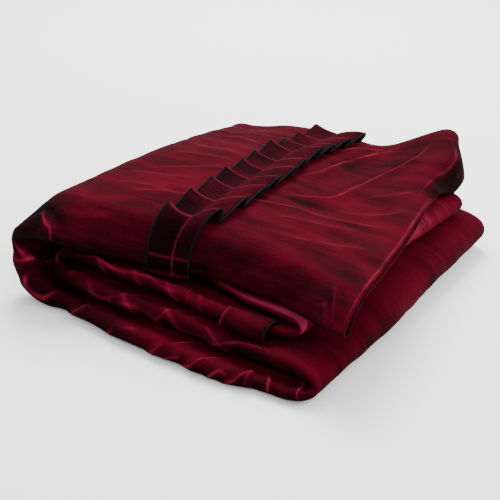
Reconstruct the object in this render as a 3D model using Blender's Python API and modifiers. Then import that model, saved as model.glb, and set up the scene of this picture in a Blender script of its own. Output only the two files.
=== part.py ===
"""A velvet piano cover, folded into a soft stack, with a pleated ruffle strip sewn across it.

Metres, +Z up. X runs along the front, Y goes back, and the stack stands on z = 0.
The cloth is one sheet: folded in half with that fold at the front and both long hems at the back,
and then back and forth along X in five plies. Each ply is two thicknesses of the sheet.
"""
import math
from collections import namedtuple

import bmesh
import bpy
from mathutils import Vector

# Whole stack: the bottom centre of its bounding box is the origin
STACK_SHIFT = Vector((0.007891, -0.019222, 0.000026))

# Cloth
SHEET = 0.003              # thickness of the sheet
GAP_FRONT = 0.0045         # between the two thicknesses of a ply, just behind its front roll
GAP_INSIDE = 0.0085        # the same, in the middle of the stack
GAP_GROWS = 0.12           # depth over which the one becomes the other
ROLL_DEPTH = 0.035         # depth over which a front roll narrows to the ply
HALF_WIDTH = 0.400         # from the front fold to a hem
LOWER_HEM_SHORT = 0.008    # one hem ends this much before the other
ROLL_SHARE = 0.02          # the front roll's part of the half width

# The plan of each ply. Left and right: x of its ends, at even steps from front to back.
# Front and back: y of its front fold and of its hems, at even steps from left to right.
Plan = namedtuple("Plan", "left right front back")
PLANS = {
    "top": Plan((-0.157, -0.152), (0.199, 0.195, 0.189, 0.181, 0.171, 0.160, 0.153, 0.156, 0.122),
                (-0.197, -0.148, -0.125, -0.124, -0.149), (0.182, 0.196, 0.199, 0.214, 0.258)),
    "bottom": Plan((-0.132, -0.134), (0.150, 0.148), (-0.207, -0.210, -0.211, -0.208, -0.194),
                   (0.165, 0.185, 0.195, 0.205, 0.212)),
    "third": Plan((-0.142, -0.138), (0.152, 0.150), (-0.188, -0.184, -0.175, -0.177, -0.173),
                  (0.160, 0.176, 0.188, 0.198, 0.206)),
    "second": Plan((-0.142, -0.138), (0.122, 0.146), (-0.175, -0.165, -0.157, -0.158, -0.150),
                   (0.158, 0.174, 0.184, 0.188, 0.188)),
    "inner": Plan((-0.120, -0.115), (0.122, 0.146), (-0.112, -0.110, -0.117, -0.127, -0.134),
                  (0.155, 0.170, 0.180, 0.184, 0.184)),
}

# The rise of each ply: height of its middle behind the front roll, half way back and at the hems.
# Curl: how far the front turns down, in degrees, over curl_length. Roll: height of the front roll.
# All go from left to right at even steps.
Rise = namedtuple("Rise", "front inside back curl curl_length roll")
RISES = {
    "top": Rise((0.109, 0.0965, 0.0950, 0.0945, 0.090), (0.111, 0.1015, 0.092),
                (0.099, 0.103, 0.104, 0.095, 0.099),
                (55, 97, 98, 91, 50), 0.055, (0.014, 0.009, 0.009, 0.009, 0.008)),
    "bottom": Rise((0, 0), (0, 0), (0, 0), (0, 0), 0.020, (0.0150, 0.0145, 0.0145, 0.013, 0.010)),
    "third": Rise((0.031, 0.0255, 0.0225, 0.0215, 0.0240), (0.030, 0.028, 0.042), (0.029, 0.028, 0.042),
                  (0, 0), 0.030, (0.016, 0.014, 0.012, 0.012, 0.013)),
    "second": Rise((0.051, 0.041, 0.0325, 0.0305, 0.0325), (0.054, 0.049, 0.059), (0.050, 0.048, 0.055),
                   (-5, -16, -26, -26, -16), 0.042, (0.009, 0.011, 0.012, 0.012, 0.007)),
    "inner": Rise((0.072, 0.066, 0.060, 0.0565, 0.058), (0.076, 0.072, 0.075), (0.070, 0.070, 0.073),
                  (15, 20, 32, 35, 25), 0.050, (0.008, 0.008, 0.008, 0.008, 0.006)),
}
FRONT_REACHES = 0.40       # depth, as a share, over which the front's height gives way
BACK_STARTS = 0.45         # depth, as a share, from which the back's height takes over

# The folds that join the plies. Reach: how far each goes past their ends, at front and back.
# Roll: height of the front roll half way round. Square: 2 is a round fold, more is boxier.
Fold = namedtuple("Fold", "start end side reach roll square")
FOLDS = {
    "left": Fold("top", "bottom", -1, (0.054, 0.048), 0.027, 2.6),
    "bolster": Fold("bottom", "third", 1, (0.036, 0.042), 0.006, 2.3),
    "inner_left": Fold("third", "second", -1, (0.022, 0.022), 0.012, 2.2),
    "pink": Fold("second", "inner", 1, (0.020, 0.020), 0.003, 2.2),
}

# The back right corner of the top ply lifts
CORNER_LIFT = 0.028
CORNER_DEPTH = 0.62        # depth, as a share, from which it lifts
CORNER_ACROSS = 0.62       # place from left to right from which it lifts
# Its right edge droops in front of the corner: how far, and the depths and the place where it does
DROOP = 0.021
DROOP_DEPTHS = (0.70, 0.82, 0.90, 1.0)
DROOP_ACROSS = 0.90

# The ruffle: a velvet strip with a black edging along both sides
RUFFLE_SHEET = 0.0016
EDGING_SHEET = 0.0024
EDGING_WIDTH = 0.0035
PIECE_GAP = 0.0019         # between a strip and its edging
LIFT = 0.0010              # between the cloth and what lies on it
RUFFLE_HANGS = 0.008       # how far the top strip goes on past the front roll
RUFFLE_BENDS = 0.0055      # radius of its bend outwards there
RUFFLE_STEPS = 6           # steps across a strip
PLEAT_STEPS = 8            # steps in a pleat

# The top ruffle's centre line, as x at even steps from front to back, and its two edges from there
TOP_RUFFLE_X = (-0.027, -0.023, -0.025, -0.029, -0.014)
TOP_RUFFLE_SIDES = (-0.028, 0.028)
TOP_RUFFLE_NARROWS = 0.35  # how much of its right half is drawn in where it goes over the front
# Where each pleat starts, as a distance back from the front fold
PLEAT_STARTS = (0.020, 0.057, 0.094, 0.125, 0.156, 0.187, 0.223, 0.255, 0.283, 0.308, 0.334)
# A pleat's height and how far its ridge leans back, at the strip's left edge, centre and right edge
PLEAT_RISE = (0.0100, 0.0030, 0.0120)
PLEAT_LEAN = (0.016, 0.012, 0.026)
PLEATS_LOWER = 0.35        # how much lower the pleats stand at the back than at the front

# The inner ruffle, flat where it goes over the second ply's front roll
INNER_RUFFLE_X = 0.089
INNER_RUFFLE_SIDES = (-0.024, 0.024)
INNER_RUFFLE_BACK = 0.012
INNER_RUFFLE_BENDS = 0.014
INNER_RUFFLE_HANGS = 0.022

# The order along the cut, with the steps that each stretch is built in
STRETCHES = (
    ("top", 18), ("left", 9), ("bottom", 9), ("bolster", 9), ("third", 8),
    ("inner_left", 6), ("second", 8), ("pink", 6), ("inner", 7),
)
DEPTH_STEPS = (0.0, 0.012, 0.028, 0.05, 0.08, 0.12, 0.19, 0.30, 0.44, 0.60, 0.71, 0.81, 0.88, 0.94, 1.0)
FRONT_STEPS = 4            # steps round a front roll
LEFTWARD = ("top", "third", "inner")    # plies that run from right to left


def mix(a, b, share):
    return a + (b - a) * share


def soft(value):
    """From 0 to 1, level at both ends."""
    value = min(max(value, 0.0), 1.0)
    return value * value * (3 - 2 * value)


def through(values, place):
    """A smooth curve through evenly spaced values, for a place from 0 to 1."""
    last = len(values) - 1
    at = min(max(place, 0.0), 1.0) * last
    i = min(int(at), last - 1)
    t = at - i
    before, a, b, after = (values[min(max(k, 0), last)] for k in (i - 1, i, i + 1, i + 2))
    return a + 0.5 * t * (b - before + t * (2 * before - 5 * a + 4 * b - after
                                             + t * (3 * (a - b) + after - before)))


def parabola(values, place):
    """The parabola through three values, at 0, half and 1."""
    low, middle, high = values
    return (low * (1 - place) * (1 - 2 * place) + middle * 4 * place * (1 - place)
            + high * place * (2 * place - 1))


def ply_height(name, across, depth):
    """Height of a ply's middle; across from left to right, depth from front to back."""
    rise = RISES[name]
    front, inside, back = (through(row, across) for row in (rise.front, rise.inside, rise.back))
    height = mix(front, inside, soft(depth / FRONT_REACHES))
    height = mix(height, back, soft((depth - BACK_STARTS) / (1 - BACK_STARTS)))
    if name == "bottom":
        height += SHEET / 2 + gap_at(name, across, depth * HALF_WIDTH) / 2
    if name == "top":
        height += (CORNER_LIFT * soft((depth - CORNER_DEPTH) / (1 - CORNER_DEPTH))
                   * soft((across - CORNER_ACROSS) / (1 - CORNER_ACROSS)))
        starts, full, fades, ends = DROOP_DEPTHS
        height -= (DROOP * soft((depth - starts) / (full - starts)) * soft((ends - depth) / (ends - fades))
                   * max(0.0, (across - DROOP_ACROSS) / (1 - DROOP_ACROSS)) ** 2)
    return height


def shoulder_of(name, across):
    """Where a ply's front curl starts: its y, the curl's radius and the ply's whole depth."""
    plan, rise = PLANS[name], RISES[name]
    turn = math.radians(through(rise.curl, across)) or 1e-6
    radius = rise.curl_length / turn
    shoulder = through(plan.front, across) + radius * math.sin(turn)
    return shoulder, radius, through(plan.back, across) - shoulder + rise.curl_length


def on_ply(name, across, depth):
    """A point on the middle of a ply; across from left to right, depth from front to back."""
    plan = PLANS[name]
    shoulder, radius, whole = shoulder_of(name, across)
    past = depth * whole - RISES[name].curl_length
    x = mix(through(plan.left, depth), through(plan.right, depth), across)
    height = ply_height(name, across, depth)
    if past > 0:
        return Vector((x, shoulder + past, height))
    return Vector((x, shoulder + radius * math.sin(past / radius),
                   height - radius * (1 - math.cos(past / radius))))


def on_fold(name, turned, depth):
    """A point on the middle of a fold, from one ply (0) round to the next (1)."""
    fold = FOLDS[name]
    end = 0.0 if fold.side < 0 else 1.0
    first, last = on_ply(fold.start, end, depth), on_ply(fold.end, end, depth)
    level, out = math.cos(math.pi * turned), math.sin(math.pi * turned)
    level = math.copysign(abs(level) ** (2 / fold.square), level)
    out = max(out, 0.0) ** (2 / fold.square)
    point = mix(first, last, (1 - level) / 2)
    point.x += fold.side * mix(*fold.reach, soft(depth / FRONT_REACHES)) * out
    return point


def place_on(stretch, part):
    """The part of a stretch, from its start, as the place that its shape is given by."""
    return 1 - part if stretch in LEFTWARD else part


def on_band(stretch, part, depth):
    """A point on the middle of the folded band, from one end of a stretch (0) to the other (1)."""
    shape = on_fold if stretch in FOLDS else on_ply
    return shape(stretch, place_on(stretch, part), depth)


def roll_of(stretch, across):
    """Height of the front roll on a ply, from left to right, or round a fold, from start to end."""
    if stretch in RISES:
        return through(RISES[stretch].roll, across)
    fold = FOLDS[stretch]
    end = 0 if fold.side < 0 else -1
    return parabola((RISES[fold.start].roll[end], fold.roll, RISES[fold.end].roll[end]), across)


def gap_at(stretch, across, back_by):
    """Distance between the band's two thicknesses, this far behind its front fold."""
    inside = mix(GAP_FRONT, GAP_INSIDE, soft(back_by / GAP_GROWS))
    swell = max(0.0, 1 - back_by / ROLL_DEPTH) ** 2
    return mix(inside, roll_of(stretch, across), swell)


def frame_of(stretch, part, depth):
    """A point of the band's middle, its outward normal and the direction forward."""
    step = 0.004
    here = on_band(stretch, part, depth)
    along = on_band(stretch, min(part + step, 1.0), depth) - on_band(stretch, max(part - step, 0.0), depth)
    back = on_band(stretch, part, min(depth + step, 1.0)) - on_band(stretch, part, max(depth - step, 0.0))
    return here, back.cross(along).normalized(), -back.normalized()


def on_cloth(stretch, part, row):
    """A point of the sheet; row goes from -1, the upper hem, over the front roll to 1, the lower one."""
    edge = ROLL_SHARE
    if abs(row) >= edge:
        depth = (abs(row) - edge) / (1 - edge)
        if row > 0:
            depth *= 1 - LOWER_HEM_SHORT / HALF_WIDTH
        here, out, _ = frame_of(stretch, part, depth)
        gap = gap_at(stretch, place_on(stretch, part), depth * HALF_WIDTH)
        return here + out * (-math.copysign(gap / 2, row))
    here, out, forward = frame_of(stretch, part, 0.0)
    angle = row / edge * math.pi / 2
    radius = gap_at(stretch, place_on(stretch, part), 0.0) / 2
    return here + out * (-radius * math.sin(angle)) + forward * (radius * math.cos(angle))


def over_ply(name, x, along, lift, bend):
    """A point this far above a ply's upper face and this far behind its front fold.

    Ahead of the fold it leaves the ply in a curve of radius bend: outwards, or inwards if negative.
    """
    across, depth, whole = 0.5, 0.0, 1.0
    for _ in range(4):
        whole = shoulder_of(name, across)[2]
        depth = min(max(along, 0.0) / whole, 1.0)
        low, high = through(PLANS[name].left, depth), through(PLANS[name].right, depth)
        across = (x - low) / (high - low)
    here, out, forward = frame_of(name, place_on(name, across), depth)
    up = out if name in LEFTWARD else -out
    reach = gap_at(name, across, depth * HALF_WIDTH) / 2 + SHEET / 2 + lift
    if along >= 0:
        return here + up * reach - forward * max(along - whole, 0.0)
    angle = -along / bend
    return here + up * (reach + bend * (1 - math.cos(angle))) + forward * (bend * math.sin(angle))


def pleat(along, across):
    """How far a pleat carries a point of the top ruffle back, and up."""
    for start, end in zip(PLEAT_STARTS, PLEAT_STARTS[1:]):
        if start < along < end:
            wave = (1 - math.cos(2 * math.pi * (along - start) / (end - start))) / 2
            height = parabola(PLEAT_RISE, across) * (1 - PLEATS_LOWER * along / PLEAT_STARTS[-1])
            return parabola(PLEAT_LEAN, across) * wave, height * wave
    return 0.0, 0.0


def on_top_ruffle(side, along):
    """A point of the top ruffle's middle; side is measured from its centre line."""
    left, right = TOP_RUFFLE_SIDES
    back, up = pleat(along, min(max((side - left) / (right - left), 0.0), 1.0))
    drawn_in = 1 - TOP_RUFFLE_NARROWS * (1 - soft((along - PLEAT_STARTS[0]) / PLEAT_STARTS[1]))
    x = through(TOP_RUFFLE_X, along / PLEAT_STARTS[-1]) + side * (drawn_in if side > 0 else 1)
    return over_ply("top", x, along + back, LIFT + EDGING_SHEET / 2 + up, RUFFLE_BENDS)


def on_inner_ruffle(side, along):
    """A point of the inner ruffle's middle, where it goes over the second ply's front roll."""
    lift = LIFT + EDGING_SHEET / 2
    return over_ply("second", INNER_RUFFLE_X + side, along, lift, -INNER_RUFFLE_BENDS)


def spread(low, high, steps):
    return [mix(low, high, k / steps) for k in range(steps + 1)]


def material(name, color, roughness):
    made = bpy.data.materials.new(name)
    made.use_nodes = True
    shader = made.node_tree.nodes["Principled BSDF"]
    shader.inputs["Base Color"].default_value = (*color, 1.0)
    shader.inputs["Roughness"].default_value = roughness
    shader.inputs["Metallic"].default_value = 0.0
    made.diffuse_color = (*color, 1.0)
    return made


def sheet(name, columns, rows, point_at, thickness, look, collection):
    """A sheet as a flat grid laid along its surface, with its thickness given to both sides."""
    grid = bmesh.new()
    bmesh.ops.create_grid(grid, x_segments=len(columns) - 1, y_segments=len(rows) - 1, size=0.5)
    for vert in grid.verts:
        column = round((vert.co.x + 0.5) * (len(columns) - 1))
        row = round((vert.co.y + 0.5) * (len(rows) - 1))
        vert.co = point_at(columns[column], rows[row]) + STACK_SHIFT
    mesh = bpy.data.meshes.new(name)
    grid.to_mesh(mesh)
    grid.free()
    mesh.materials.append(look)
    mesh.shade_smooth()
    made = bpy.data.objects.new(name, mesh)
    collection.objects.link(made)
    solid = made.modifiers.new("Thickness", "SOLIDIFY")
    solid.thickness = thickness
    solid.offset = 0.0
    solid.use_even_offset = False


def make_cloth(look, collection):
    columns = [("top", 0.0)]
    for stretch, steps in STRETCHES:
        columns += [(stretch, (k + 1) / steps) for k in range(steps)]
    straight = [ROLL_SHARE + depth * (1 - ROLL_SHARE) for depth in DEPTH_STEPS]
    roll = [ROLL_SHARE * (2 * k / FRONT_STEPS - 1) for k in range(1, FRONT_STEPS)]
    rows = [-row for row in reversed(straight)] + roll + straight
    sheet("cloth", columns, rows, lambda column, row: on_cloth(*column, row), SHEET, look, collection)


def make_strip(name, sides, rows, point_at, looks, edged, collection):
    """A ruffle strip and its edgings; edged names the sides that show one."""
    left, right = sides
    velvet, black = looks
    columns = spread(left, right, RUFFLE_STEPS)
    sheet(name, columns, rows, point_at, RUFFLE_SHEET, velvet, collection)
    for side, inner, outward in (("left", left, -1), ("right", right, 1)):
        if side not in edged:
            continue
        near = inner + outward * PIECE_GAP
        columns = sorted((near, near + outward * EDGING_WIDTH))
        sheet(f"{name}_{side}_edging", columns, rows, point_at, EDGING_SHEET, black, collection)


def main():
    for old in list(bpy.data.objects):
        bpy.data.objects.remove(old, do_unlink=True)
    collection = bpy.data.collections.new("Piano cover")
    bpy.context.scene.collection.children.link(collection)
    velvet = material("Velvet", (0.30, 0.008, 0.030), 0.85)
    black = material("Black edging", (0.012, 0.010, 0.011), 0.8)
    make_cloth(velvet, collection)
    rows = spread(-RUFFLE_HANGS, PLEAT_STARTS[0], 10)
    for start, end in zip(PLEAT_STARTS, PLEAT_STARTS[1:]):
        rows += spread(start, end, PLEAT_STEPS)[1:]
    looks = (velvet, black)
    make_strip("top_ruffle", TOP_RUFFLE_SIDES, rows, on_top_ruffle, looks, ("left", "right"), collection)
    rows = spread(-INNER_RUFFLE_HANGS, INNER_RUFFLE_BACK, 10)
    make_strip("inner_ruffle", INNER_RUFFLE_SIDES, rows, on_inner_ruffle, looks, ("right",), collection)


main()
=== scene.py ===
import math

import bmesh
import bpy
import numpy as np
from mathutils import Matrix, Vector, noise


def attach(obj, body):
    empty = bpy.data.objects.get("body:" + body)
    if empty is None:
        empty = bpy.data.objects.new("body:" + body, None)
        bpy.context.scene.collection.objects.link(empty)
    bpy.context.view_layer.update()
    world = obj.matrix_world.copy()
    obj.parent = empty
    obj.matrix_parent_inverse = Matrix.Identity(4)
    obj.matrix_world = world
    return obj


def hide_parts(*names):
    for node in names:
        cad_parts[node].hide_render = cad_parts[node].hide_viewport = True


# The looks of a velvet piano cover that lies folded: its cloth with its creases, the pleated ruffle
# with its overlocked edges, the finishes, and the photograph's camera over a pale floor.
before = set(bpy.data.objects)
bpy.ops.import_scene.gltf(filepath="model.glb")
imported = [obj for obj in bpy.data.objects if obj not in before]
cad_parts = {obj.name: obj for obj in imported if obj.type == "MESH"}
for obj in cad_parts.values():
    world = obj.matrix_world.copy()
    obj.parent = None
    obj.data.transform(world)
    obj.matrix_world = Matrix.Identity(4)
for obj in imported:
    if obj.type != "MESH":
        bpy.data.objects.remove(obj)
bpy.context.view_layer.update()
print("frame loaded", flush=True)

stack = {
    "shift": np.array((0.007891, -0.019222, 0.000026)),   # from the stack's own sizes to the frame
    "sheet": 0.003,
    "gapFront": 0.0045, "gapInside": 0.0085, "gapGrows": 0.12,     # between a ply's two thicknesses
    "rollDepth": 0.035,       # over which a front roll narrows to its ply
    "halfWidth": 0.400, "lowerHemShort": 0.008, "rollShare": 0.02,
    "frontReaches": 0.40, "backStarts": 0.45,
    "cornerLift": 0.028, "cornerDepth": 0.62, "cornerAcross": 0.62,
    # The top ply's end turns down
    "endLength": 0.017, "endTurn": 1.45, "endStarts": 0.50, "endFull": 0.84,
    "droop": 0.021, "droopDepths": (0.70, 0.82, 0.90, 1.0), "droopAcross": 0.90,
}

# Plans: x of each end from front to back, then y of the front fold and of the hems from left to right
plans = {
    "top": {"left": (-0.157, -0.152),
            "right": (0.199, 0.195, 0.189, 0.181, 0.171, 0.161, 0.157, 0.161, 0.127),
            "front": (-0.197, -0.148, -0.125, -0.124, -0.149), "back": (0.182, 0.196, 0.199, 0.214, 0.258)},
    "bottom": {"left": (-0.132, -0.134), "right": (0.150, 0.148),
               "front": (-0.207, -0.210, -0.211, -0.208, -0.194),
               "back": (0.165, 0.185, 0.195, 0.205, 0.212)},
    "third": {"left": (-0.142, -0.138), "right": (0.152, 0.150),
              "front": (-0.188, -0.184, -0.175, -0.177, -0.173),
              "back": (0.160, 0.176, 0.188, 0.198, 0.206)},
    "second": {"left": (-0.142, -0.138), "right": (0.122, 0.146),
               "front": (-0.175, -0.165, -0.157, -0.158, -0.150),
               "back": (0.158, 0.174, 0.184, 0.188, 0.188)},
    "inner": {"left": (-0.120, -0.115), "right": (0.122, 0.146),
              "front": (-0.112, -0.110, -0.117, -0.127, -0.134),
              "back": (0.155, 0.170, 0.180, 0.184, 0.184)},
}

# Heights of each ply's middle, its front curl in degrees and the height of its front roll
rises = {
    "top": {"front": (0.109, 0.0965, 0.0950, 0.0945, 0.090), "inside": (0.111, 0.1015, 0.092),
            "back": (0.099, 0.103, 0.104, 0.095, 0.099), "curl": (55, 97, 98, 91, 50), "curlLength": 0.055,
            "roll": (0.014, 0.009, 0.009, 0.009, 0.008)},
    "bottom": {"front": (0, 0), "inside": (0, 0), "back": (0, 0), "curl": (0, 0), "curlLength": 0.020,
               "roll": (0.0150, 0.0145, 0.0145, 0.013, 0.010)},
    "third": {"front": (0.031, 0.0255, 0.0225, 0.0215, 0.0240), "inside": (0.030, 0.028, 0.042),
              "back": (0.029, 0.028, 0.042), "curl": (0, 0), "curlLength": 0.030,
              "roll": (0.016, 0.014, 0.012, 0.012, 0.013)},
    "second": {"front": (0.051, 0.041, 0.0325, 0.0305, 0.0325), "inside": (0.054, 0.049, 0.059),
               "back": (0.050, 0.048, 0.055), "curl": (-5, -16, -26, -26, -16), "curlLength": 0.042,
               "roll": (0.009, 0.011, 0.012, 0.012, 0.007)},
    "inner": {"front": (0.072, 0.066, 0.060, 0.0565, 0.058), "inside": (0.076, 0.072, 0.075),
              "back": (0.070, 0.070, 0.073), "curl": (15, 20, 32, 35, 25), "curlLength": 0.050,
              "roll": (0.008, 0.008, 0.008, 0.008, 0.006)},
}

# Folds between the plies: which ends they join, how far they reach out in front and behind, how open
# their front roll is and how square their bend
folds = {
    "left": {"start": "top", "end": "bottom", "side": -1, "reach": (0.054, 0.048), "roll": 0.027,
             "square": 2.6},
    "bolster": {"start": "bottom", "end": "third", "side": 1, "reach": (0.036, 0.042), "roll": 0.006,
                "square": 2.3},
    "innerLeft": {"start": "third", "end": "second", "side": -1, "reach": (0.022, 0.022), "roll": 0.012,
                  "square": 2.2},
    "pink": {"start": "second", "end": "inner", "side": 1, "reach": (0.020, 0.020), "roll": 0.003,
             "square": 2.2},
}

# The order along the cloth, with the steps of each stretch
stretches = (("top", 96), ("left", 38), ("bottom", 60), ("bolster", 26), ("third", 56),
             ("innerLeft", 12), ("second", 56), ("pink", 10), ("inner", 28))
leftward = ("top", "third", "inner")


def mix(a, b, share):
    return a + (b - a) * share


def soft(value):
    value = np.clip(value, 0.0, 1.0)
    return value * value * (3 - 2 * value)


def bell(away, width):
    return np.exp(-(away / width) ** 2)


# A smooth curve through evenly spaced values
def through(values, place):
    values, last = np.asarray(values, float), len(values) - 1
    at = np.clip(place, 0.0, 1.0) * last
    i = np.minimum(np.floor(at).astype(int), last - 1)
    t = at - i
    before, a, b, after = (values[np.clip(i + k, 0, last)] for k in (-1, 0, 1, 2))
    return a + 0.5 * t * (b - before + t * (2 * before - 5 * a + 4 * b - after
                                             + t * (3 * (a - b) + after - before)))


def parabola(values, place):
    low, middle, high = values
    return (low * (1 - place) * (1 - 2 * place) + middle * 4 * place * (1 - place)
            + high * place * (2 * place - 1))


# How far a value has gone from start to end, from 0 to 1
def past(value, start, end=1.0):
    return soft((value - start) / (end - start))


def plyHeight(name, across, depth):
    front, inside, back = (through(rises[name][place], across) for place in ("front", "inside", "back"))
    height = mix(front, inside, soft(depth / stack["frontReaches"]))
    height = mix(height, back, past(depth, stack["backStarts"]))
    if name == "bottom":
        height = height + stack["sheet"] / 2 + gapAt(name, across, depth * stack["halfWidth"]) / 2
    if name == "top":
        starts, full, fades, ends = stack["droopDepths"]
        lifted = past(depth, stack["cornerDepth"]) * past(across, stack["cornerAcross"])
        drooped = np.maximum(0.0, (across - stack["droopAcross"]) / (1 - stack["droopAcross"])) ** 2
        drooped = drooped * past(depth, starts, full) * past(-depth, -ends, -fades)
        height = height + stack["cornerLift"] * lifted - stack["droop"] * drooped
    return height


def shoulderOf(name, across):
    turn = np.radians(through(rises[name]["curl"], across))
    turn = np.where(abs(turn) < 1e-6, 1e-6, turn)
    length = rises[name]["curlLength"]
    shoulder = through(plans[name]["front"], across) + length / turn * np.sin(turn)
    return shoulder, length / turn, through(plans[name]["back"], across) - shoulder + length


def onPly(name, across, depth):
    plan = plans[name]
    shoulder, radius, whole = shoulderOf(name, across)
    behind = depth * whole - rises[name]["curlLength"]
    x = mix(through(plan["left"], depth), through(plan["right"], depth), across)
    curled = np.minimum(behind, 0.0) / radius
    y = shoulder + np.where(behind > 0, behind, radius * np.sin(curled))
    height = plyHeight(name, across, depth) - radius * (1 - np.cos(curled))
    if name == "top":
        end, length = through(plan["right"], depth), stack["endLength"]
        turn = 1e-4 + stack["endTurn"] * past(depth, stack["endStarts"], stack["endFull"])
        turned = np.maximum(1 - (end - x) / length, 0.0) * turn
        x = np.where(turned > 0, end - length + length / turn * np.sin(turned), x)
        height = height - length / turn * (1 - np.cos(turned))
    return np.stack([x, y, height], -1)


def onFold(name, turned, depth):
    fold = folds[name]
    end = 0.0 if fold["side"] < 0 else 1.0
    first, last = onPly(fold["start"], end, depth), onPly(fold["end"], end, depth)
    level = np.cos(np.pi * turned)
    level = np.sign(level) * abs(level) ** (2 / fold["square"])
    out = np.maximum(np.sin(np.pi * turned), 0.0) ** (2 / fold["square"])
    point = mix(first, last, ((1 - level) / 2)[..., None])
    point[..., 0] += fold["side"] * mix(*fold["reach"], soft(depth / stack["frontReaches"])) * out
    return point


def placeOn(stretch, part):
    return 1 - part if stretch in leftward else part


def onBand(stretch, part, depth):
    return (onFold if stretch in folds else onPly)(stretch, placeOn(stretch, part), depth)


def gapAt(stretch, across, backBy):
    if stretch in rises:
        roll = through(rises[stretch]["roll"], across)
    else:
        fold = folds[stretch]
        end = 0 if fold["side"] < 0 else -1
        first, last = (rises[fold[key]]["roll"][end] for key in ("start", "end"))
        roll = parabola((first, fold["roll"], last), across)
    inside = mix(stack["gapFront"], stack["gapInside"], soft(backBy / stack["gapGrows"]))
    return mix(inside, roll, np.maximum(0.0, 1 - backBy / stack["rollDepth"]) ** 2)


def unit(vectors):
    return vectors / np.linalg.norm(vectors, axis=-1)[..., None]


# A point of a ply or fold, the way out from it and the way to the front
def frameOf(stretch, part, depth):
    step = 0.004
    after, before = np.minimum(part + step, 1.0), np.maximum(part - step, 0.0)
    deeper, nearer = np.minimum(depth + step, 1.0), np.maximum(depth - step, 0.0)
    along = onBand(stretch, after, depth) - onBand(stretch, before, depth)
    back = onBand(stretch, part, deeper) - onBand(stretch, part, nearer)
    return onBand(stretch, part, depth), unit(np.cross(back, along)), unit(-back)


# Points of the cloth's middle and the way out from them; row goes from -1, the upper hem, to 1
def onCloth(stretch, part, row):
    edge = stack["rollShare"]
    depth = np.maximum(abs(row) - edge, 0.0) / (1 - edge)
    depth = np.where(row > 0, depth * (1 - stack["lowerHemShort"] / stack["halfWidth"]), depth)
    here, out, forward = frameOf(stretch, part, depth)
    angle = (np.clip(row / edge, -1.0, 1.0) * np.pi / 2)[..., None]
    away = forward * np.cos(angle) - out * np.sin(angle)
    gap = gapAt(stretch, placeOn(stretch, part), depth * stack["halfWidth"])
    return here + away * gap[..., None] / 2, away


# Points over a ply, the given way behind its front roll; ahead of the roll they leave in an arc
def overPly(name, x, along, lift, bend):
    across = np.full(np.shape(x), 0.5)
    for _ in range(4):
        whole = shoulderOf(name, across)[2]
        depth = np.clip(along / whole, 0.0, 1.0)
        low, high = through(plans[name]["left"], depth), through(plans[name]["right"], depth)
        across = (x - low) / (high - low)
    here, out, forward = frameOf(name, placeOn(name, across), depth)
    up = out if name in leftward else -out
    reach = gapAt(name, across, depth * stack["halfWidth"]) / 2 + stack["sheet"] / 2 + lift
    angle = -np.minimum(along, 0.0) / bend
    reach = reach + bend * (1 - np.cos(angle))
    ahead = bend * np.sin(angle) - np.maximum(along - whole, 0.0)
    return here + up * reach[..., None] + forward * ahead[..., None]


# Shading: a socket that adds, multiplies and feeds other nodes
class Wire:
    def __init__(self, tree, socket):
        self.tree, self.socket = tree, socket

    def node(self, kind, feeds, out=0, **settings):
        made = self.tree.nodes.new(kind)
        for key, value in settings.items():
            setattr(made, key, value)
        for key, value in feeds.items():
            if isinstance(value, Wire):
                self.tree.links.new(value.socket, made.inputs[key])
            else:
                made.inputs[key].default_value = value
        return Wire(self.tree, made.outputs[out])

    def sum(self, operation, *others):
        return self.node("ShaderNodeMath", dict(enumerate((self, *others))), operation=operation)

    def __add__(self, other):
        return self.sum("ADD", other)

    def __sub__(self, other):
        return self.sum("SUBTRACT", other)

    def __rsub__(self, other):
        return self.sum("MULTIPLY", -1.0).sum("ADD", other)

    def __mul__(self, other):
        return self.sum("MULTIPLY", other)

    def __truediv__(self, other):
        return self.sum("DIVIDE", other)

    def __pow__(self, other):
        return self.sum("POWER", other)

    __radd__, __rmul__ = __add__, __mul__

    def between(self, low, high, toLow=0.0, toHigh=1.0):
        return self.node("ShaderNodeMapRange", {"Value": self, "From Min": low, "From Max": high,
                                                "To Min": toLow, "To Max": toHigh},
                         interpolation_type="SMOOTHSTEP")

    def colours(self, first, second):
        return self.node("ShaderNodeMix", {0: self, 6: first, 7: second}, out=2, data_type="RGBA")

    def noise(self, scale, detail=2.0, roughness=0.5):
        return self.node("ShaderNodeTexNoise", {"Vector": self, "Scale": scale, "Detail": detail,
                                                "Roughness": roughness})

    def stretched(self, scale, turn=0.0):
        return self.node("ShaderNodeMapping", {"Vector": self, "Scale": scale, "Rotation": (0.0, 0.0, turn)})


def newLook(name, roughness):
    look = bpy.data.materials.new(name)
    look.use_nodes = True
    tree = look.node_tree
    shader = tree.nodes["Principled BSDF"]
    shader.inputs["Metallic"].default_value = 0.0
    shader.inputs["Roughness"].default_value = roughness
    flat = tree.nodes.new("ShaderNodeUVMap")
    return look, tree, shader, Wire(tree, flat.outputs[0])


# Attributes: along crease and fold lines a painted sheen highlight, which also stands for pressed pile; by
# the way the cloth faces, painted light and shade; and painted shadows and highlights beside folds and under
# overhangs, with some patches of darker and lighter pile
velvetFinish = {
    "deep": (0.0040, 0.0001, 0.0008, 1), "bright": (0.066, 0.0002, 0.0058, 1),
    "highlightPink": (0.20, 0.015, 0.042, 1), "rubbedSheen": (0.23, 0.009, 0.034, 1),
    "deepToBright": (-0.05, 1.05), "brightToHighlight": (0.95, 1.75), "contrast": 1.35,
    "roughness": 0.9, "specular": 0.03,
    "sheen": 0.02, "sheenRoughness": 0.25, "sheenTint": (0.95, 0.06, 0.18, 1),
    "grainScale": 560, "pileScale": 1500, "cloudScale": 13,
    "streakStretch": (8.0, 52.0, 1.0), "streakTurn": 0.16,
    "facingShadeShare": 0.70, "streakShare": 0.36, "cloudShare": 0.24, "grainShare": 0.70,
    "bump": 0.5, "bumpHeight": 0.0010, "grainHeight": 0.5, "pileHeight": 0.3, "streakHeight": 2.4,
}


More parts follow.
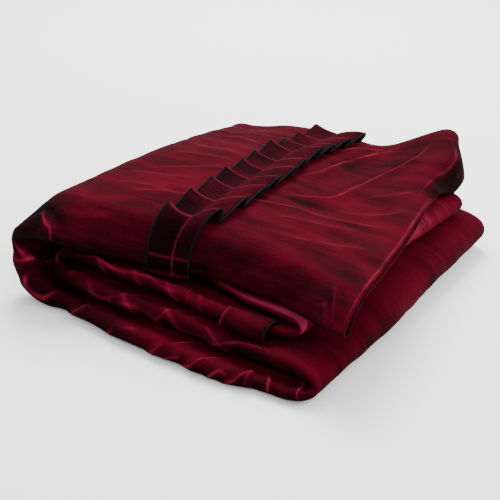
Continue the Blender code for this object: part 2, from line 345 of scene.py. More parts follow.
def velvetLook(name, s):
    look, tree, shader, flat = newLook(name, s["roughness"])
    grain = flat.noise(s["grainScale"], 3.0, 0.6)
    pile = flat.noise(s["pileScale"], 2.0)
    clouds = flat.noise(s["cloudScale"], 3.0, 0.55)
    streaks = flat.stretched(s["streakStretch"], s["streakTurn"]).noise(1.0, 5.0, 0.62)
    rubSheen, facingShade, shadeAndHighlight = (flat.node("ShaderNodeAttribute", {}, out=2, attribute_name=value)
                         for value in ("rubSheen", "facingShade", "shadeAndHighlight"))
    # The share adds painted light and shade (by facing, and the painted shadows and highlights) to the pile's
    # own streaks, clouds and grain; deep is its shaded end, bright its lit end, and past that it turns to a
    # painted pink highlight
    share = (shadeAndHighlight + facingShade * s["facingShadeShare"] + (streaks.between(0.30, 0.70) - 0.5) * s["streakShare"]
             + (clouds.between(0.32, 0.68) - 0.5) * s["cloudShare"] + (grain - 0.5) * s["grainShare"])
    base = (share.between(*s["deepToBright"]) ** s["contrast"]).colours(s["deep"], s["bright"])
    shadedAndLit = share.between(*s["brightToHighlight"]).colours(base, s["highlightPink"])
    # Painted sheen highlight: along crease and fold lines the colour turns pink, which also stands for
    # pressed pile
    colour = (rubSheen * (grain * 0.8 + 0.6)).colours(shadedAndLit, s["rubbedSheen"])
    tree.links.new(colour.socket, shader.inputs["Base Color"])
    shader.inputs["Sheen Weight"].default_value = s["sheen"]
    shader.inputs["Sheen Roughness"].default_value = s["sheenRoughness"]
    shader.inputs["Sheen Tint"].default_value = s["sheenTint"]
    shader.inputs["Specular IOR Level"].default_value = s["specular"]
    height = grain * s["grainHeight"] + pile * s["pileHeight"] + streaks * s["streakHeight"]
    bump = flat.node("ShaderNodeBump", {"Height": height, "Strength": s["bump"], "Distance": s["bumpHeight"]})
    tree.links.new(bump.socket, shader.inputs["Normal"])
    return look


edgingFinish = {
    "dark": (0.0008, 0.0005, 0.0007, 1), "light": (0.0075, 0.0040, 0.0055, 1),
    "roughness": 0.85, "specular": 0.08, "threadScale": 2200, "threadShare": 0.7,
    "lintScale": 500, "lintShare": 0.3, "bump": 0.4, "bumpHeight": 0.0004,
}


def edgingLook(name, s):
    look, tree, shader, flat = newLook(name, s["roughness"])
    thread = flat.stretched((1.0, 0.5, 1.0)).noise(s["threadScale"], 2.0)
    lint = flat.noise(s["lintScale"], 2.0)
    share = thread.between(0.4, 0.65) * s["threadShare"] + lint.between(0.5, 0.7) * s["lintShare"]
    tree.links.new(share.colours(s["dark"], s["light"]).socket, shader.inputs["Base Color"])
    shader.inputs["Specular IOR Level"].default_value = s["specular"]
    bump = flat.node("ShaderNodeBump", {"Height": thread, "Strength": s["bump"], "Distance": s["bumpHeight"]})
    tree.links.new(bump.socket, shader.inputs["Normal"])
    return look


velvet = velvetLook("Velvet", velvetFinish)
edging = edgingLook("Overlocked edging", edgingFinish)
print("finishes made", flush=True)

paintedLightWay = np.array((0.10, 0.42, 0.90))     # painted light and shade: the colour is brightest where the cloth faces this way, up and back towards the lamps, and darkest where it faces the front


def finish(mesh, grid, look, name):
    grid.to_mesh(mesh)
    grid.free()
    mesh.materials.append(look)
    mesh.shade_smooth()
    # Painted light and shade: each vertex gets a value from which way its normal faces
    normals = np.empty(len(mesh.vertices) * 3, dtype=np.float32)
    mesh.vertex_normals.foreach_get("vector", normals)
    mesh.attributes.new("facingShade", "FLOAT", "POINT").data.foreach_set(
        "value", (0.5 + 0.5 * normals.reshape(-1, 3) @ paintedLightWay).astype(np.float32))
    made = bpy.data.objects.new(name, mesh)
    bpy.context.scene.collection.objects.link(made)
    return made


# The cloth is built flat, finer where creases show, and then laid in its folds
cloth = {
    "rowsAbove": ((0.0, 0.016, 8), (0.016, 0.060, 13), (0.060, 0.400, 44)),    # from, to and steps
    "rowsBelow": ((0.0, 0.016, 8), (0.016, 0.060, 9), (0.060, 0.400, 14)),
    "hem": 0.009, "hemRadius": 0.0013, "hemSteps": 3,
    "creaseReach": 0.0046, "creaseEnds": 0.24,        # finer mesh beside a line, and its faded share
    "steepSide": 0.7, "gentleSide": 1.9,              # a crease's two flanks, in half widths
    # Then the trough beside a crease, the width of the painted sheen highlight along its line (it also stands
    # for pressed pile), and the noise that breaks those lines up
    "troughAt": 1.4, "troughWidth": 0.9, "troughDepth": 0.55, "sheenLineWidth": 0.0011,
    "sheenBreakup": (0.75, 1.1), "sheenBreakupScale": 55,
}

# Creases in the cloth: height in mm, half width in mm, how strong the painted sheen highlight along its
# line is, which also stands for pressed pile, the trough beside it, then the line. A point of the line is
# its stretch and the share of it gone by, counted from 0 at the top ply's free end, and the mm over the
# cloth from the middle of the front roll, negative upwards
creases = (
    (1.6, 4.5, 0.55, 0.6, ((0.62, -134), (0.56, -140), (0.47, -146), (0.37, -154), (0.29, -154),
                           (0.15, -161), (0.08, -169))),
    (3.2, 6.0, 0.65, 1.0, ((0.47, -180), (0.41, -187), (0.35, -195), (0.31, -206), (0.285, -222),
                           (0.265, -246), (0.24, -278), (0.215, -308), (0.19, -334), (0.15, -362),
                           (0.10, -379))),
    (2.8, 5.5, 0.70, 0.9, ((0.49, -242), (0.43, -268), (0.41, -300), (0.39, -335), (0.35, -362),
                           (0.27, -378), (0.18, -390))),
    (1.6, 3.5, 0.60, 0.6, ((0.50, -337), (0.45, -360), (0.38, -376), (0.28, -388))),
    (1.4, 3.5, 0.60, 0.6, ((0.47, -368), (0.42, -383), (0.33, -394))),
    (1.2, 5.0, 0.30, 0.5, ((0.90, -100), (0.84, -108), (0.76, -116), (0.71, -122))),
    (1.0, 6.0, 0.25, 0.5, ((0.97, -165), (0.89, -180), (0.80, -196), (0.74, -205))),
    (1.6, 5.0, 0.40, 0.7, ((0.99, -350), (0.90, -352), (0.78, -340), (0.66, -346))),
    (1.4, 5.0, 0.40, 0.7, ((0.98, -325), (0.88, -322), (0.76, -306), (0.69, -300))),
    (1.2, 6.0, 0.25, 0.5, ((0.96, -260), (0.86, -262), (0.76, -254))),
    (1.2, 6.0, 0.30, 0.4, ((0.45, -120), (0.33, -128), (0.22, -136), (0.13, -146))),
    (1.1, 7.0, 0.25, 0.4, ((0.40, -86), (0.27, -90), (0.15, -104), (0.07, -118))),
    (1.2, 6.0, 0.30, 0.4, ((0.27, -178), (0.18, -186), (0.10, -200), (0.05, -222))),
    (1.4, 6.0, 0.30, 0.5, ((0.20, -230), (0.13, -244), (0.07, -262))),
    (1.2, 6.0, 0.30, 0.5, ((0.97, -112), (0.93, -119), (0.85, -119), (0.75, -113))),
    (1.2, 5.0, 0.30, 0.5, ((0.99, -222), (0.94, -225), (0.84, -230), (0.76, -232))),
    (1.0, 6.0, 0.25, 0.5, ((1.00, -150), (0.96, -151), (0.86, -156), (0.78, -160))),
    (0.7, 6.0, 0.06, 0.5, ((1.03, -36), (0.98, -33), (0.91, -39), (0.83, -52))),
    (3.0, 6.0, 0.60, 1.0, ((1.09, -30), (1.04, -22), (0.995, -14), (0.98, -2))),
    (1.4, 4.0, 0.14, 1.2, ((0.095, -26), (0.070, -14), (0.045, -1))),
    (1.1, 4.0, 0.12, 1.2, ((0.085, -46), (0.058, -24), (0.035, -4))),
    (0.6, 3.0, 0.55, 0.4, ((0.006, -2), (0.006, -60), (0.006, -130), (0.006, -200), (0.008, -270))),
    (0.7, 3.0, 0.30, 0.4, ((0.052, -388), (0.050, -360), (0.048, -330), (0.046, -295), (0.044, -255))),
    (0.6, 2.5, 0.20, 0.6, ((0.030, -384), (0.026, -358), (0.022, -330))),
    (1.7, 4.5, 0.45, 1.5, ((2.01, -12), (2.07, -3), (2.13, 6), (2.17, 24), (2.25, 38))),
    (1.0, 5.0, 0.35, 1.2, ((2.25, -8), (2.32, 2), (2.41, 7))),
    (1.8, 4.5, 0.48, 1.5, ((2.44, -11), (2.50, -3), (2.54, 6), (2.57, 24), (2.64, 42))),
    (1.0, 4.0, 0.40, 1.2, ((2.53, -9), (2.58, -2), (2.63, 2))),
    (1.8, 4.5, 0.52, 1.5, ((2.61, -10), (2.66, -3), (2.70, 3), (2.73, 18), (2.76, 28), (2.80, 38))),
    (1.2, 3.5, 0.50, 1.4, ((2.72, -9), (2.76, -3), (2.80, 3), (2.83, 1))),
    (1.8, 4.0, 0.48, 1.5, ((2.77, -10), (2.82, -4), (2.87, 2), (2.895, 13), (2.87, 26))),
    (1.5, 4.0, 0.42, 1.4, ((2.89, 16), (2.90, 6), (2.905, -6))),
    (1.4, 4.0, 0.50, 1.4, ((2.94, 20), (2.97, 9), (2.99, -4))),
    (2.0, 4.5, 0.65, 1.4, ((2.98, 34), (3.06, 29), (3.18, 24), (3.23, 10), (3.25, -8))),
    (2.4, 4.5, 0.60, 0.6, ((2.40, 46), (2.55, 47), (2.66, 45), (2.76, 39), (2.89, 30), (2.98, 26),
                           (3.10, 20))),
    (2.0, 4.5, 0.65, 1.2, ((1.30, -3), (1.38, 2), (1.51, 7), (1.60, 18), (1.66, 30))),
    (2.4, 4.5, 0.65, 1.2, ((1.44, -4), (1.49, 4), (1.58, 20), (1.63, 34), (1.66, 46))),
    (2.4, 5.0, 0.60, 1.2, ((1.62, 3), (1.70, 1), (1.78, -1), (1.93, 1), (2.02, 18))),
    (1.8, 4.0, 0.50, 1.0, ((1.70, 22), (1.78, 34), (1.85, 30), (1.93, 22))),
    (1.2, 5.0, 0.35, 1.4, ((4.80, 0), (4.73, -5), (4.68, -18), (4.61, -34))),
    (1.4, 5.5, 0.42, 1.4, ((4.63, 8), (4.55, 0), (4.50, -14), (4.45, -30), (4.37, -40))),
    (1.0, 5.0, 0.30, 1.4, ((4.44, -6), (4.40, -22), (4.30, -32))),
    (1.2, 5.5, 0.35, 1.2, ((4.36, 8), (4.26, -2), (4.16, -8), (4.05, -6))),
    (1.6, 4.5, 0.40, 1.0, ((5.00, -4), (4.93, -12), (4.86, -24), (4.78, -30))),
    (1.6, 4.5, 0.35, 1.2, ((6.06, 16), (6.12, 8), (6.20, 3), (6.30, 2))),
    (1.2, 4.0, 0.25, 1.2, ((6.30, 14), (6.38, 6), (6.48, 5), (6.58, 10))),
    (1.2, 3.5, 0.35, 1.2, ((6.52, 20), (6.57, 8), (6.60, -3))),
    (1.0, 3.5, 0.45, 0.6, ((8.95, 3), (8.70, 4), (8.45, 3), (8.20, 4), (8.05, 2))),
    (1.1, 3.5, 0.34, 0.9, ((6.08, 11), (6.15, 3), (6.19, -6))),
    (1.3, 4.0, 0.40, 1.0, ((6.28, 10), (6.33, 1), (6.36, -8))),
    (1.0, 3.5, 0.30, 0.9, ((6.44, 9), (6.50, 0), (6.56, -7))),
    (1.2, 4.0, 0.36, 1.0, ((6.62, 10), (6.66, 1), (6.68, -7))),
    (1.1, 3.5, 0.36, 0.9, ((4.91, -10), (4.86, -2), (4.79, 6))),
    (1.3, 4.0, 0.32, 1.0, ((4.75, -10), (4.67, 0), (4.59, 7))),
    (1.1, 3.5, 0.40, 0.9, ((4.57, -11), (4.48, -1), (4.41, 7))),
    (1.2, 4.0, 0.30, 1.0, ((4.37, -10), (4.28, -1), (4.17, 6))),
    (0.8, 3.5, 0.40, 0.8, ((6.01, 3), (6.12, 6), (6.22, 2), (6.36, 5), (6.48, 1), (6.60, 4))),
    (0.8, 4.0, 0.28, 0.8, ((4.96, -3), (4.82, 1), (4.66, -2), (4.50, 4), (4.34, 0), (4.20, 4))),
    (1.4, 5.0, 0.30, 1.2, ((5.10, -16), (5.40, -6), (5.70, 2), (5.95, 12))),
    (0.6, 3.0, 0.35, 0.8, ((0.42, 3), (0.30, 5), (0.16, 3), (0.05, 2))),
    (0.8, 3.5, 0.35, 0.8, ((1.00, 3), (0.90, 6), (0.78, 3), (0.66, 5), (0.58, 3))),
)
# Soft swells: place as above, then half length and half width over the cloth and height, in mm
swells = (
    ((1.02, -400), 70, 45, -6.0), ((0.80, -70), 70, 35, 1.6), ((0.84, -150), 60, 40, -1.5),
    ((0.86, -230), 60, 30, 1.5), ((0.84, -300), 60, 24, -1.2), ((0.30, -105), 70, 26, 1.4),
    ((0.20, -190), 50, 24, -1.6),
    ((0.33, -170), 50, 14, -1.8), ((0.40, -225), 26, 30, -2.4), ((0.30, -330), 24, 44, -2.8),
    ((0.10, -290), 24, 46, 1.6), ((0.46, -320), 26, 26, -1.4), ((2.30, 4), 30, 14, 1.4),
    ((2.60, -4), 24, 12, -1.6), ((2.80, 6), 20, 12, 1.4), ((4.50, -4), 40, 14, 1.2),
    ((4.22, -6), 26, 14, -1.2), ((1.40, 6), 20, 16, -2.4), ((1.74, 8), 24, 12, 1.6),
    ((3.45, -150), 30, 80, 1.2), ((3.60, -290), 30, 60, -1.2),
)
# Painted shadows and highlights beside folds and under overhangs, with some patches of darker and lighter
# pile:
# place and half sizes as above, darker below nought and lighter above it
shadeAndHighlightPatches = (
    ((1.16, -26), 26, 20, -0.45), ((0.012, -335), 12, 60, -0.75), ((0.22, -345), 30, 18, -0.40),
    ((0.36, -172), 46, 9, -0.30), ((0.42, -212), 30, 18, -0.30), ((0.38, -308), 22, 20, -0.22),
    ((0.06, -60), 22, 40, -0.18), ((1.45, -160), 60, 90, -0.15), ((7.35, -190), 48, 170, 1.15),
    ((8.20, -12), 130, 4.5, 0.85), ((7.72, -17), 22, 6, 0.50), ((8.20, -23), 130, 6, -0.35),
    ((8.20, -1), 120, 7, -0.32), ((5.5, -6), 40, 40, -0.35),
    ((6.15, 2), 50, 16, -0.12), ((0.90, -20), 50, 18, -0.12), ((2.10, 10), 60, 12, -0.12),
    ((3.5, -160), 60, 110, 0.14), ((0.80, -160), 60, 30, 0.16),
    ((0.25, -120), 60, 14, 0.16), ((2.50, -10), 110, 12, -0.10), ((1.90, 30), 60, 30, -0.25),
    ((4.60, -26), 90, 22, -0.12), ((6.50, 0), 120, 6, 0.14),
)
# Fine unevenness: length and width of its swells and height in m, and its slant
ripples = ((0.100, 0.026, 0.0012, 0.15), (0.045, 0.016, 0.0006, 0.25), (0.020, 0.011, 0.0003, 0.0))


def rowPlaces(spans):
    return [mix(start, end, k / steps) for start, end, steps in spans for k in range(steps)] + [spans[-1][1]]


# A smooth line through a crease's points, in metres of flat cloth
def creaseLine(points):
    places = np.linspace(0, 1, 10 * (len(points) - 1) + 1)
    along, over = (through([point[k] for point in points], places) for k in (0, 1))
    return np.stack([np.interp(along, *bandLengths), over / 1000], 1)


# How far each flat point is from a line, on which side, and how far along it
def fromLine(at, line):
    best, side, gone = np.full(len(at), 1e9), np.zeros(len(at)), np.zeros(len(at))
    for k, (a, b) in enumerate(zip(line, line[1:])):
        run = b - a
        share = np.clip(((at - a) @ run) / (run @ run), 0, 1)
        away = at - (a + share[:, None] * run)
        far = np.hypot(away[:, 0], away[:, 1])
        closer = far < best
        best = np.where(closer, far, best)
        side = np.where(closer, np.sign(run[0] * away[:, 1] - run[1] * away[:, 0]), side)
        gone = np.where(closer, (k + share) / (len(line) - 1), gone)
    return best, side, gone


def nearCrease(at, reach):
    found = np.zeros(len(at), dtype=bool)
    for line in creaseLines:
        near = np.flatnonzero(((at > line.min(0) - reach) & (at < line.max(0) + reach)).all(1))
        if len(near):
            found[near] |= fromLine(at[near], line)[0] < reach
    return found


# How high the creases, swells and ripples lift each flat point, and how strong the painted sheen highlight
# along crease lines is there, which also stands for pressed pile
def relief(flat, s):
    height, rubbedSheen = np.zeros(len(flat)), np.zeros(len(flat))
    for (tall, wide, sheenRub, beside, _), line in zip(creases, creaseLines):
        width = wide / 1000
        near = np.flatnonzero(((flat > line.min(0) - width * 5) & (flat < line.max(0) + width * 5)).all(1))
        if not len(near):
            continue
        far, side, gone = fromLine(flat[near], line)
        fade = soft(np.minimum(gone, 1 - gone) / s["creaseEnds"])
        signed = far * side / width
        shape = bell(signed, np.where(signed > 0, s["steepSide"], s["gentleSide"]))
        trough = bell(signed - s["troughAt"], s["troughWidth"])
        height[near] += tall / 1000 * fade * (shape - beside * s["troughDepth"] * trough)
        rubbedSheen[near] += sheenRub * fade * bell(far, s["sheenLineWidth"])
    for (place, over), halfLength, halfWidth, tall in swells:
        centre = np.array([np.interp(place, *bandLengths), over / 1000])
        off = (flat - centre) / np.array([halfLength, halfWidth]) * 1000
        height += tall / 1000 * np.exp(-(off ** 2).sum(1))
    for k, (long, wide, tall, slant) in enumerate(ripples):
        height += tall * np.array([noise.noise(Vector((u / long, (v + slant * u) / wide, k)))
                                   for u, v in flat])
    # Noise breaks up the painted sheen lines along the creases
    breakup = np.array([noise.noise(Vector((u, v, 7.0)) * s["sheenBreakupScale"]) for u, v in flat])
    return height, np.clip(rubbedSheen * (s["sheenBreakup"][0] + s["sheenBreakup"][1] * breakup), 0, 1)


# Adds up the painted shadows and highlights, with their pile patches, at each flat point
def shadeAndHighlightOf(flat):
    shadeAndHighlight = np.zeros(len(flat))
    for (place, over), halfLength, halfWidth, amount in shadeAndHighlightPatches:
        off = (flat - (np.interp(place, *bandLengths), over / 1000)) / (halfLength / 1000, halfWidth / 1000)
        shadeAndHighlight += amount * np.exp(-(off ** 2).sum(1))
    return shadeAndHighlight


# The length of each step of a line, added up
def travelledOn(points):
    return np.concatenate([[0.0], np.cumsum(np.linalg.norm(np.diff(points, axis=0), axis=1))])


# How far along the flat cloth each place on the stretches is
def measureBand(steps=24, depth=0.3):
    places = np.linspace(0, len(stretches), len(stretches) * steps + 1)
    points = np.concatenate([onBand(name, np.arange(steps + (name == "inner")) / steps, depth)
                             for name, _ in stretches])
    return places, travelledOn(points)


bandLengths = measureBand()
creaseLines = [creaseLine(crease[-1]) for crease in creases]


def flatten(places):
    places = np.array(places)
    return np.stack([np.interp(places[:, 0], *bandLengths), places[:, 1] * stack["halfWidth"]], 1)


# A grid of the given columns and rows, and the column and row that each vertex stands for
def newGrid(columns, rows):
    grid = bmesh.new()
    across, up = len(columns) - 1, len(rows) - 1
    bmesh.ops.create_grid(grid, x_segments=across, y_segments=up, size=0.5)
    grid.verts.index_update()
    spots = np.array([((vert.co.x + 0.5) * across, (vert.co.y + 0.5) * up) for vert in grid.verts])
    column, row = spots.round().astype(int).T
    return grid, np.stack([np.array(columns)[column], np.array(rows)[row]], 1)


def unwrap(grid, flat):
    uv = grid.loops.layers.uv.new("UVMap")
    for face in grid.faces:
        for loop in face.loops:
            loop[uv].uv = flat[loop.vert.index]


# Puts each vertex in its place, with its painted sheen highlight along creases, which also stands for pressed
# pile, and its painted shadows and highlights with their pile patches
def lay(grid, points, rubbedSheen, shadedAndLit):
    rubSheen, shadeAndHighlight = (grid.verts.layers.float.new(name) for name in ("rubSheen", "shadeAndHighlight"))
    for vert, point, sheenRub, paintedLit in zip(grid.verts, points, rubbedSheen, shadedAndLit):
        vert.co, vert[rubSheen], vert[shadeAndHighlight] = point, sheenRub, paintedLit


# Halves the edges whose middle is wanted
def refine(grid, wanted):
    edges = list(grid.edges)
    middles = np.array([((edge.verts[0].co + edge.verts[1].co) / 2)[:2] for edge in edges])
    bmesh.ops.subdivide_edges(grid, edges=[edges[k] for k in np.flatnonzero(wanted(middles))], cuts=1,
                              use_grid_fill=True)


def makeCloth(s):
    columns = [0.0]
    for index, (_, steps) in enumerate(stretches):
        columns += [index + (k + 1) / steps for k in range(steps)]
    above, below = rowPlaces(s["rowsAbove"]), rowPlaces(s["rowsBelow"])
    rows = [-v / stack["halfWidth"] for v in reversed(above[1:])] + [v / stack["halfWidth"] for v in below]
    grid, places = newGrid(columns, rows)
    for vert, place in zip(grid.verts, places):
        vert.co = (*place, 0.0)
    refine(grid, lambda m: ((m[:, 0] < 1) & (m[:, 1] > -0.99) & (m[:, 1] < 0.05))
           | ((m[:, 0] > 1) & (m[:, 0] < 4) & (abs(m[:, 1]) < 0.10)))
    refine(grid, lambda m: (nearCrease(flatten(m), s["creaseReach"])
                            & (abs(m[:, 1]) < 0.99) & (m[:, 0] > 0.03)))
    grid.verts.index_update()
    places = np.array([vert.co[:2] for vert in grid.verts])
    flat = flatten(places)
    (height, rubbedSheen), shadedAndLit = relief(flat, s), shadeAndHighlightOf(flat)
    points = np.empty((len(flat), 3))
    index = np.minimum(places[:, 0].astype(int), len(stretches) - 1)
    for k, (name, _) in enumerate(stretches):
        here = index == k
        middle, away = onCloth(name, places[here, 0] - k, places[here, 1])
        points[here] = middle + away * (height[here] + stack["sheet"] / 2)[:, None]
    points += stack["shift"]
    points[:, 2] = np.maximum(points[:, 2], 0.0)
    unwrap(grid, flat)
    lay(grid, points, rubbedSheen, shadedAndLit)
    turnHem(grid, s)
    bmesh.ops.recalc_face_normals(grid, faces=grid.faces)
    return finish(bpy.data.meshes.new("velvet_cloth"), grid, velvet, "velvet_cloth")


# The hem: every border turns under its own cloth
def turnHem(grid, s):
    grid.normal_update()
    border = [edge for edge in grid.edges if edge.is_boundary]
    facing = {}
    for edge in border:
        for vert in edge.verts:
            inside = [e.other_vert(vert) for e in vert.link_edges if not e.is_boundary]
            out = sum((vert.co - other.co for other in inside), Vector()) if inside else Vector()
            facing[vert] = (vert.normal.copy(), out)
    for vert, (normal, out) in list(facing.items()):
        if out.length == 0:
            near = [facing[e.other_vert(vert)][1].normalized() for e in vert.link_edges]
            out = sum(near, Vector())
        out = (out - normal * out.dot(normal)).normalized()
        facing[vert] = (normal, out, vert.co.copy())
    for step in range(s["hemSteps"] + 1):
        angle = math.pi * (step + 1) / s["hemSteps"]
        made = bmesh.ops.extrude_edge_only(grid, edges=border)["geom"]
        newVerts = [g for g in made if isinstance(g, bmesh.types.BMVert)]
        border = [g for g in made if isinstance(g, bmesh.types.BMEdge) and g.is_boundary]
        moved = {}
        for vert in newVerts:
            source = min((e.other_vert(vert) for e in vert.link_edges if e.other_vert(vert) in facing),
                         key=lambda v: (v.co - vert.co).length)
            normal, out, home = facing[source]
            if step < s["hemSteps"]:
                place = home + (out * math.sin(angle) - normal * (1 - math.cos(angle))) * s["hemRadius"]
            else:
                place = home - out * s["hem"] - normal * s["hemRadius"] * 2
            moved[vert] = (normal, out, home, place)
        facing = {vert: values[:3] for vert, values in moved.items()}
        for vert, values in moved.items():
            vert.co = values[3]


mainCloth = makeCloth(cloth)
print("cloth laid", flush=True)


# Ruffles: x of the centre line from front to back and the two edges from there, then the pleats
topRuffle = {
    "x": (-0.027, -0.023, -0.025, -0.029, -0.014), "left": -0.028, "right": 0.028, "narrows": 0.35,
    "hangs": 0.008, "bends": 0.0055,
    "pleats": (0.014, 0.057, 0.094, 0.125, 0.156, 0.187, 0.223, 0.255, 0.283, 0.308, 0.334),
    "rise": (0.0135, 0.0030, 0.0155), "lean": (0.016, 0.012, 0.034), "lower": 0.35,
    "peak": 0.66, "roundOff": (0.10, 0.50),
    "sizes": (1.10, 1.00, 0.85, 1.05, 0.90, 1.00, 1.25, 0.75, 0.95, 1.20),
    "leans": (1.00, 0.85, 1.10, 0.90, 1.15, 0.85, 1.15, 0.95, 0.90, 1.10),
    "acrossSteps": 24, "pleatSteps": 40, "frontSteps": 30,
    # Painted sheen highlights along pleat folds, the stitched line and the bend, which also stand for pressed
    # pile; then painted shade on the strip's two halves, and more past each fold's crest
    "foldWidth": 0.024, "foldSheen": (0.40, 0.55), "stitchWidth": 0.0008, "stitchSheen": (0.30, 0.06),
    "bendAt": 0.012, "bendWidth": 0.0014, "bendSheen": 0.20, "shadeAndHighlight": (-0.24, -0.14), "foldShade": 0.25,
}
innerRuffle = {
    "x": 0.089, "left": -0.024, "right": 0.024, "back": 0.012, "bends": 0.015, "hangs": 0.027,
    # Painted shade over the small strip, and painted sheen highlights along its folded edge and its bend
    "acrossSteps": 16, "steps": 24, "shadeAndHighlight": -0.15,
    "foldWidth": 0.0012, "foldSheen": 0.4, "bendAt": 0.004, "bendWidth": 0.002, "bendSheen": 0.2,
}
strip = {"sheet": 0.0016, "lift": 0.0010 + 0.0024 / 2}
binding = {"gap": 0.0002, "width": 0.0037, "height": 0.0026, "sides": 10, "step": 0.0005, "pitch": 0.0017,
           "relief": 0.00022, "threadsRound": 2.5}


# A knife pleat rises slowly, and its fold leans back over the next one
def pleatAt(s, along, across):
    starts = np.array(s["pleats"])
    i = np.clip(np.searchsorted(starts, along, side="right") - 1, 0, len(starts) - 2)
    t = np.clip((along - starts[i]) / (starts[i + 1] - starts[i]), 0.0, 1.0)
    left, middle, right = s["rise"]
    out = 2 * across - 1
    toRight = np.clip(out, 0.0, 1.0)
    wave = np.minimum(t / s["peak"], (1 - t) / (1 - s["peak"]))
    rounding = mix(*s["roundOff"], toRight)
    wave = np.where(wave > 1 - rounding, 1 - rounding / 2 - (1 - wave) ** 2 / (2 * rounding), wave)
    wave = wave * (0.35 * wave + 0.65)
    rise = np.where(out < 0, mix(middle, left, -out), mix(middle, right, np.sin(toRight * np.pi / 2)))
    size = np.array(s["sizes"])[i] * (1 - s["lower"] * along / starts[-1])
    return parabola(s["lean"], across) * np.array(s["leans"])[i] * wave, rise * size * wave, t


def onTopRuffle(side, along):
    s = topRuffle
    across = np.clip((side - s["left"]) / (s["right"] - s["left"]), 0.0, 1.0)
    back, up, _ = pleatAt(s, along, across)
    drawnIn = 1 - s["narrows"] * (1 - soft((along - s["pleats"][0]) / s["pleats"][1]))
    x = through(s["x"], along / s["pleats"][-1]) + side * np.where(side > 0, drawnIn, 1)
    return overPly("top", x, along + back, strip["lift"] + up, s["bends"])


# Painted sheen highlights along the folds of the pleats, the stitched line and the bend over the front edge,
# which also stand for pressed pile; and painted shade over the strip, darker on its left half and past each
# fold's crest
def sheenAndShadeTop(side, along):
    s = topRuffle
    t = pleatAt(s, along, 0.5)[2]
    fold = (along > s["pleats"][0]) * bell(t - s["peak"], s["foldWidth"])
    stitch = bell(side, s["stitchWidth"]) * np.where(along < s["pleats"][1], *s["stitchSheen"])
    bend = bell(along - s["bendAt"], s["bendWidth"]) * s["bendSheen"]
    rubbedSheen = np.clip(np.where(side < 0, *s["foldSheen"]) * fold + stitch + bend, 0.0, 1.0)
    return rubbedSheen, np.where(side < 0, *s["shadeAndHighlight"]) - s["foldShade"] * (t > s["peak"])


def onInnerRuffle(side, along):
    return overPly("second", innerRuffle["x"] + side, along, strip["lift"], -innerRuffle["bends"])


# Painted sheen highlights along the small strip's folded edge and bend, and painted shade over it
def sheenAndShadeInner(side, along):
    s = innerRuffle
    fold = bell(side - s["left"], s["foldWidth"]) * s["foldSheen"]
    return fold + bell(along - s["bendAt"], s["bendWidth"]) * s["bendSheen"], np.full(len(side), s["shadeAndHighlight"])


def makeStrip(name, sides, rows, pointAt, sheenAndShadeAt):
    grid, flat = newGrid(sides, rows)
    unwrap(grid, flat)
    lay(grid, pointAt(*flat.T) + stack["shift"], *sheenAndShadeAt(*flat.T))
    made = finish(bpy.data.meshes.new(name), grid, velvet, name)
    solid = made.modifiers.new("Thickness", "SOLIDIFY")
    solid.thickness, solid.offset, solid.use_even_offset = strip["sheet"], 0.0, False
    return made


# An overlocked edge: a flat oval that follows the strip's edge, ridged by its threads. It is a grid of
# turns by steps, wrapped round, joined along its seam and closed at its ends
def makeBinding(name, side, outward, rows, pointAt):
    s = binding
    rows, sides = np.array(rows), np.full(len(rows), side + outward * (s["gap"] + s["width"] / 2))
    rough, sideways = pointAt(sides, rows), unit(pointAt(sides + 0.001, rows) - pointAt(sides - 0.001, rows))
    travelled = travelledOn(rough)
    where = np.linspace(0.0, travelled[-1], int(travelled[-1] / s["step"]))
    points, across = (np.stack([np.interp(where, travelled, values[:, k]) for k in range(3)], 1)
                      for values in (rough, sideways))
    up, across = unit(np.cross(across, np.gradient(points, axis=0))), unit(across)
    grid, flat = newGrid(np.arange(s["sides"] + 1), np.arange(len(where)))
    turn, step = flat.T
    unwrap(grid, np.stack([turn / s["sides"] * s["width"] * s["threadsRound"], where[step]], 1))
    angle = 2 * np.pi * turn / s["sides"]
    swell = 1 + s["relief"] / s["height"] * 2 * np.sin(2 * np.pi * where[step] / s["pitch"] + angle)
    sidewards, upwards = np.cos(angle) * s["width"] / 2 * swell, np.sin(angle) * s["height"] / 2 * swell
    places = points[step] + across[step] * sidewards[:, None] + up[step] * upwards[:, None] + stack["shift"]
    for vert, place in zip(grid.verts, places):
        vert.co = place
    bmesh.ops.remove_doubles(grid, verts=grid.verts, dist=1e-7)
    bmesh.ops.holes_fill(grid, edges=[edge for edge in grid.edges if edge.is_boundary], sides=0)
    bmesh.ops.recalc_face_normals(grid, faces=grid.faces)
    return finish(bpy.data.meshes.new(name), grid, edging, name)


def spread(low, high, steps):
    return [mix(low, high, k / steps) for k in range(steps + 1)]


topRows = spread(-topRuffle["hangs"], topRuffle["pleats"][0], topRuffle["frontSteps"])
for start, end in zip(topRuffle["pleats"], topRuffle["pleats"][1:]):
    topRows += spread(start, end, topRuffle["pleatSteps"])[1:]
innerRows = spread(-innerRuffle["hangs"], innerRuffle["back"], innerRuffle["steps"])
topSides = spread(topRuffle["left"], topRuffle["right"], topRuffle["acrossSteps"])
topStrip = makeStrip("ruffle", topSides, topRows, onTopRuffle, sheenAndShadeTop)
innerSides = spread(innerRuffle["left"], innerRuffle["right"], innerRuffle["acrossSteps"])
innerStrip = makeStrip("small_ruffle", innerSides, innerRows, onInnerRuffle, sheenAndShadeInner)
leftBinding = makeBinding("ruffle_left_overlock", topRuffle["left"], -1, topRows, onTopRuffle)
rightBinding = makeBinding("ruffle_right_overlock", topRuffle["right"], 1, topRows, onTopRuffle)
innerBinding = makeBinding("small_ruffle_overlock", innerRuffle["right"], 1, innerRows, onInnerRuffle)
print("ruffles made", flush=True)

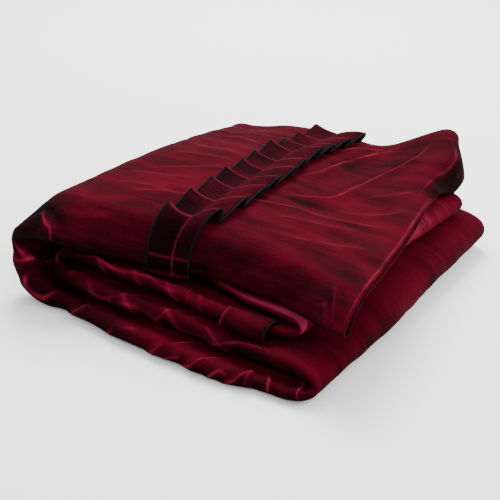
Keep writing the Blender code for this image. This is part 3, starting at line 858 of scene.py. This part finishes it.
for piece, node, slot in ((mainCloth, "cloth", "velvet"), (topStrip, "top_ruffle", "velvet"),
                          (innerStrip, "inner_ruffle", "velvet"),
                          (leftBinding, "top_ruffle_left_edging", "edging"),
                          (rightBinding, "top_ruffle_right_edging", "edging"),
                          (innerBinding, "inner_ruffle_right_edging", "edging")):
    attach(piece, "root")
    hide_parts(node)

# Floor, light and the photograph's camera
view = {
    "place": (0.5191126, -0.74545297, 0.52978512), "back": (0.51408857, -0.70758221, 0.48480962),
    "lens": 61.2, "sensor": 36,
}
room = {"floor": (0.95, 0.95, 0.95, 1), "roughness": 0.9, "halfSize": 6.0, "world": 1.35}
lights = (
    {"name": "Key", "place": (-0.9, 1.2, 1.9), "size": 1.3, "power": 120},
    {"name": "Back", "place": (1.5, 1.0, 1.3), "size": 1.2, "power": 45},
)


def makeFloor(s):
    grid = bmesh.new()
    bmesh.ops.create_grid(grid, x_segments=1, y_segments=1, size=s["halfSize"])
    look, _, shader, _ = newLook("Floor", s["roughness"])
    shader.inputs["Base Color"].default_value = s["floor"]
    finish(bpy.data.meshes.new("Floor"), grid, look, "Floor")


def makeLight(s):
    lamp = bpy.data.lights.new(s["name"], "AREA")
    lamp.energy, lamp.size = s["power"], s["size"]
    made = bpy.data.objects.new(s["name"], lamp)
    made.location = s["place"]
    made.rotation_euler = Vector(s["place"]).to_track_quat("Z", "Y").to_euler()
    bpy.context.scene.collection.objects.link(made)


def makeCamera(s):
    camera = bpy.data.cameras.new("Camera")
    camera.lens, camera.sensor_width = s["lens"], s["sensor"]
    made = bpy.data.objects.new("Camera", camera)
    made.location = s["place"] + stack["shift"]
    made.rotation_euler = Vector(s["back"]).to_track_quat("Z", "Y").to_euler()
    bpy.context.scene.collection.objects.link(made)
    bpy.context.scene.camera = made


makeFloor(room)
for lamp in lights:
    makeLight(lamp)
makeCamera(view)
world = bpy.data.worlds.new("World")
world.use_nodes = True
world.node_tree.nodes["Background"].inputs["Color"].default_value = (1, 1, 1, 1)
world.node_tree.nodes["Background"].inputs["Strength"].default_value = room["world"]
bpy.context.scene.world = world
print("stage set", flush=True)
